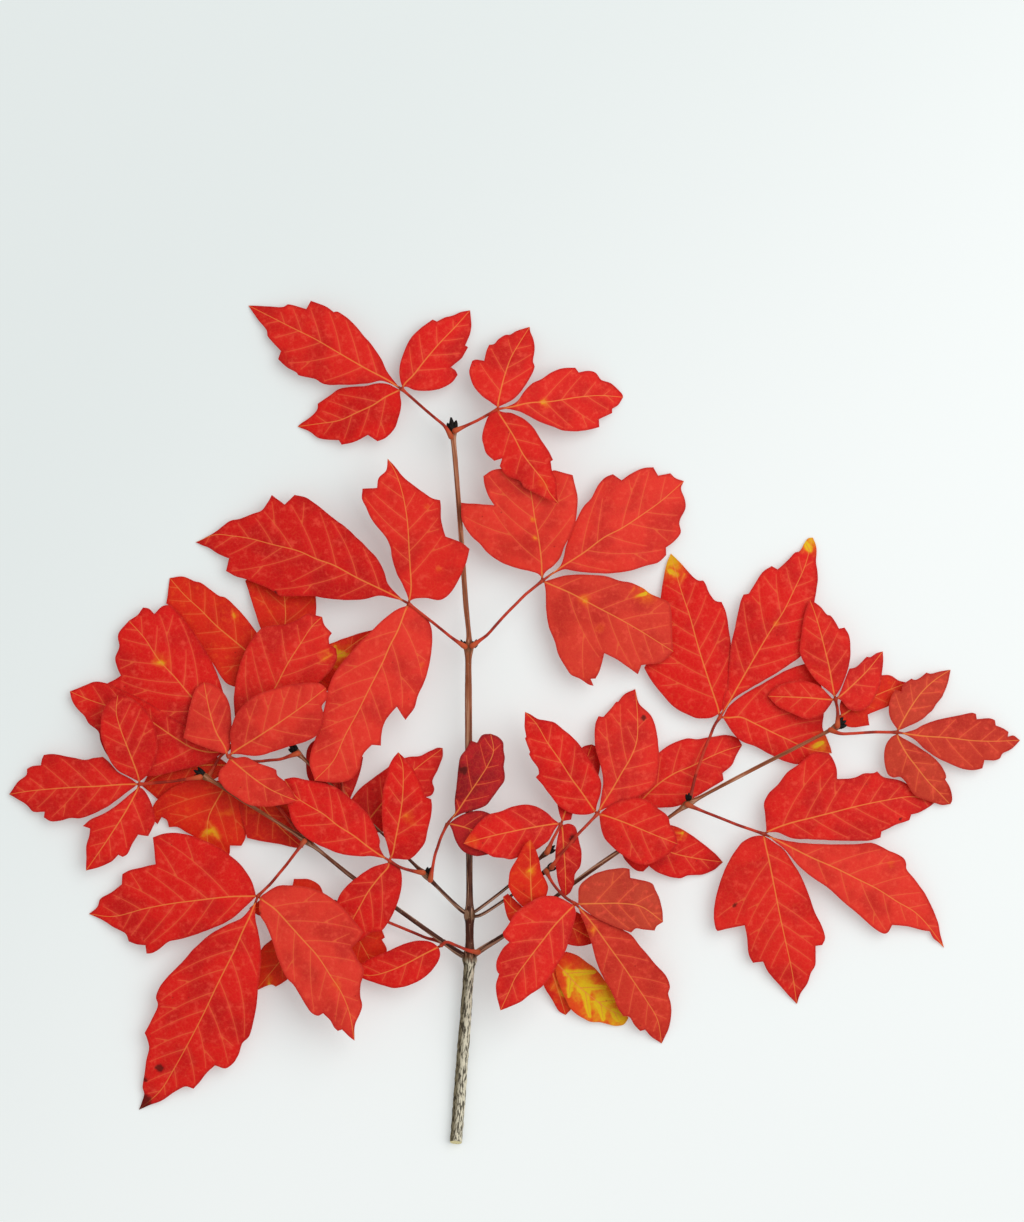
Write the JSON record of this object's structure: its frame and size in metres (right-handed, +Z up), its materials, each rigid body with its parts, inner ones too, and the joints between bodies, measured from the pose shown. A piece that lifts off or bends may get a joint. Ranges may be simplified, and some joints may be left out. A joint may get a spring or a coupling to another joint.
{
  "type": "maple twig with autumn leaves",
  "caption": "A cut maple twig lying down, its three-part autumn leaves with toothed edges overlapping along a forked stem.",
  "frame": {"origin": "centre of the whole twig's footprint, on the surface it lies on", "axes": "+X towards the right-hand leaves, +Y from the cut end of the stem towards its tip, +Z up from the surface"},
  "size_m": [0.355, 0.2963, 0.0213],
  "materials": {
    "bark": "rough grey-brown bark with fine cracks",
    "leaf_red": "thin dry leaf, satin, deep red with yellow-red ribs",
    "leaf_dark_red": "thin dry leaf, satin, dark crimson",
    "leaf_orange": "thin dry leaf, satin, orange-red"
  },
  "bodies": {
    "root": {"twig": "bark", "leaf_west_inner": "leaf_orange", "leaf_west_lower": "leaf_orange", "leaf_west_upper": "leaf_red", "leaf_left_middle": "leaf_dark_red", "leaf_left_inner": "leaf_dark_red", "leaf_left_under": "leaf_orange", "leaf_low_yellow": "leaf_orange", "leaf_right_under": "leaf_red", "leaf_far_single": "leaf_orange", "leaf_right_tall": "leaf_red", "leaf_low_single": "leaf_red", "leaf_left_cross": "leaf_red", "leaf_low_left": "leaf_red", "leaf_middle_small": "leaf_dark_red", "leaf_centre_small": "leaf_red", "leaf_low_orange": "leaf_orange", "leaf_centre_high": "leaf_red", "leaf_low_centre": "leaf_red", "leaf_right_low": "leaf_red", "leaf_mid_right": "leaf_red", "leaf_mid_left": "leaf_red", "leaf_top_right": "leaf_red", "leaf_top_left": "leaf_red", "leaf_left_over": "leaf_red", "leaf_far_left": "leaf_red", "leaf_right_over": "leaf_red", "leaf_far_right": "leaf_red"}
  },
  "joints": []
}
